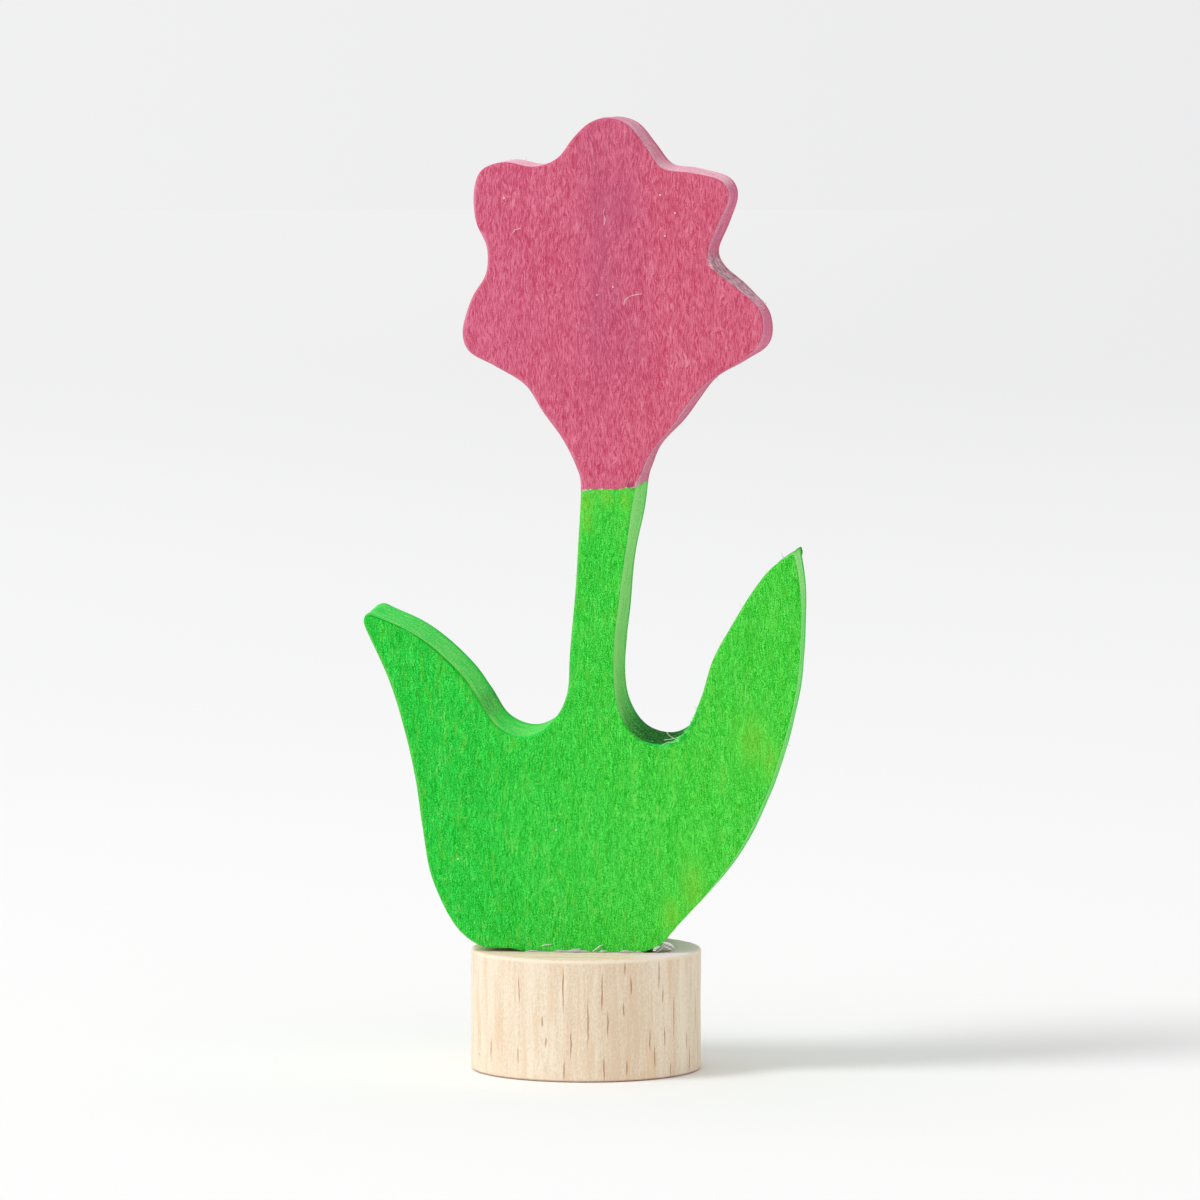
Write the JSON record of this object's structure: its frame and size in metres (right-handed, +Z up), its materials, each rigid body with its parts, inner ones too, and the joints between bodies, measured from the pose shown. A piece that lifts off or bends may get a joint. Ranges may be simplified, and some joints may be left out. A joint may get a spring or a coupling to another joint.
{
  "type": "wooden flower plug figure",
  "caption": "Flat sawn wooden flower with two leaves and a bare stem, stained pink and green, glued on a short round plug that stands by itself or fits a ring's hole.",
  "frame": {"origin": "centre of the plug's underside", "axes": "+Z up through the plug, -Y towards the front of the flower, +X to the right seen from the front"},
  "size_m": [0.0379, 0.02, 0.0824],
  "materials": {
    "stained_lime": "fine upright grain under transparent stain, green up to the neck and pink from there up, matt",
    "beech": "bare fine-sanded beech with short dark flecks, matt",
    "dried_glue": "clear hardened glue, glossy"
  },
  "bodies": {
    "root": {"base_plug": "beech", "dowel_pin": "beech", "glue_seam": "dried_glue", "flower_board": "stained_lime"}
  },
  "joints": []
}
